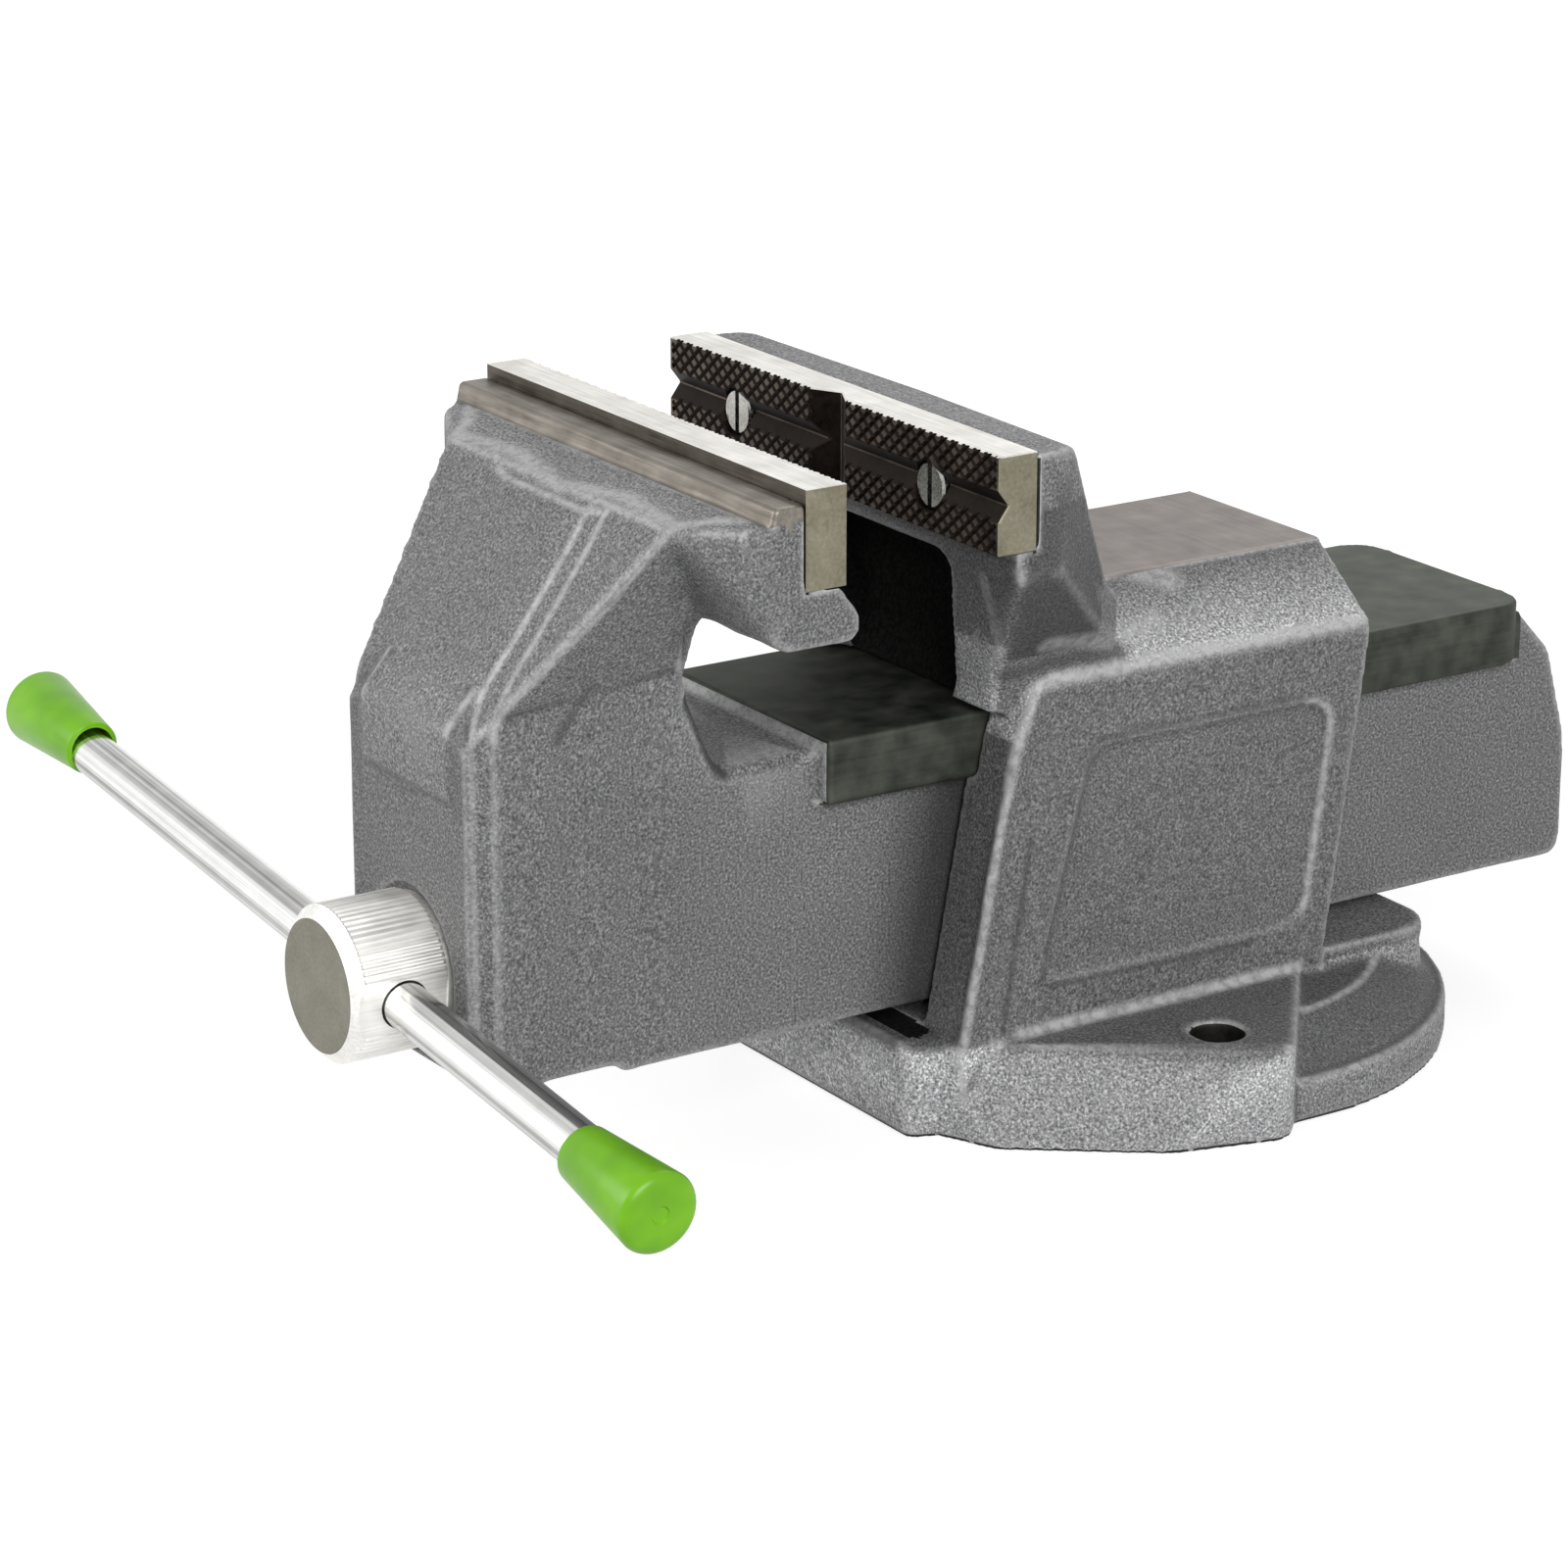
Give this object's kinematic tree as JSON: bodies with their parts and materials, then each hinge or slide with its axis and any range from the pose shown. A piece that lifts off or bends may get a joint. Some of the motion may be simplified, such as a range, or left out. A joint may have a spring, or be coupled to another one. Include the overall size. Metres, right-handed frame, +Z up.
{
  "type": "bench vise",
  "caption": "Cast bench vise with a fixed base: a screw turned by a sliding bar handle drives the moving jaw against a fixed jaw with an anvil behind it.",
  "frame": {"origin": "midway between the two bench bolt holes, on the underside of the base", "axes": "+Z up from the bench, +Y from the handle towards the rear along the slide, +X to the operator's right"},
  "size_m": [0.3259, 0.374, 0.187],
  "materials": {
    "casting_paint": "grey paint on rough cast iron, satin",
    "plate_steel": "hardened steel, ground top, cross-hatched gripping face",
    "screw_steel": "bright turned steel",
    "spindle_steel": "turned steel",
    "bush_brass": "turned bearing bronze",
    "nut_iron": "bare cast iron",
    "bolt_steel": "blackened steel",
    "handle_chrome": "bright plated bar",
    "cap_plastic": "green soft plastic, semi-gloss"
  },
  "bodies": {
    "base": {"fixed_jaw_body": "casting_paint", "fixed_jaw_plate": "plate_steel", "fixed_plate_screw_left": "screw_steel", "fixed_plate_screw_right": "screw_steel", "spindle_nut": "nut_iron", "nut_bolt_front": "bolt_steel", "nut_bolt_rear": "bolt_steel", "nut_washer_front": "bolt_steel", "nut_washer_rear": "bolt_steel"},
    "jaw": {"moving_jaw": "casting_paint", "moving_jaw_plate": "plate_steel", "moving_plate_screw_left": "screw_steel", "moving_plate_screw_right": "screw_steel", "spindle_bush": "bush_brass", "thrust_washer": "spindle_steel", "inner_washer": "spindle_steel", "disc_spring": "spindle_steel"},
    "screw": {"lead_screw": "spindle_steel", "retaining_collar": "spindle_steel", "collar_pin": "spindle_steel"},
    "handle": {"handle_bar": "handle_chrome", "handle_cap_left": "cap_plastic", "handle_cap_right": "cap_plastic"}
  },
  "joints": [
    {"name": "jaw_slide", "type": "slide", "parent": "base", "child": "jaw", "axis": [0, 1, 0], "range_m": [-0.106, 0.044]},
    {"name": "screw_turn", "type": "hinge", "parent": "jaw", "child": "screw", "pos_m": [0, -0.194, 0.0585], "axis": [0, 1, 0], "range_deg": [-6359, 2639]},
    {"name": "handle_slide", "type": "slide", "parent": "screw", "child": "handle", "axis": [0.9949, 0, -0.1011], "range_m": [-0.084, 0.135]}
  ],
  "couplings": [
    {"joint": "jaw_slide", "follows": "screw_turn", "m_per_rad": 0.00095493}
  ]
}
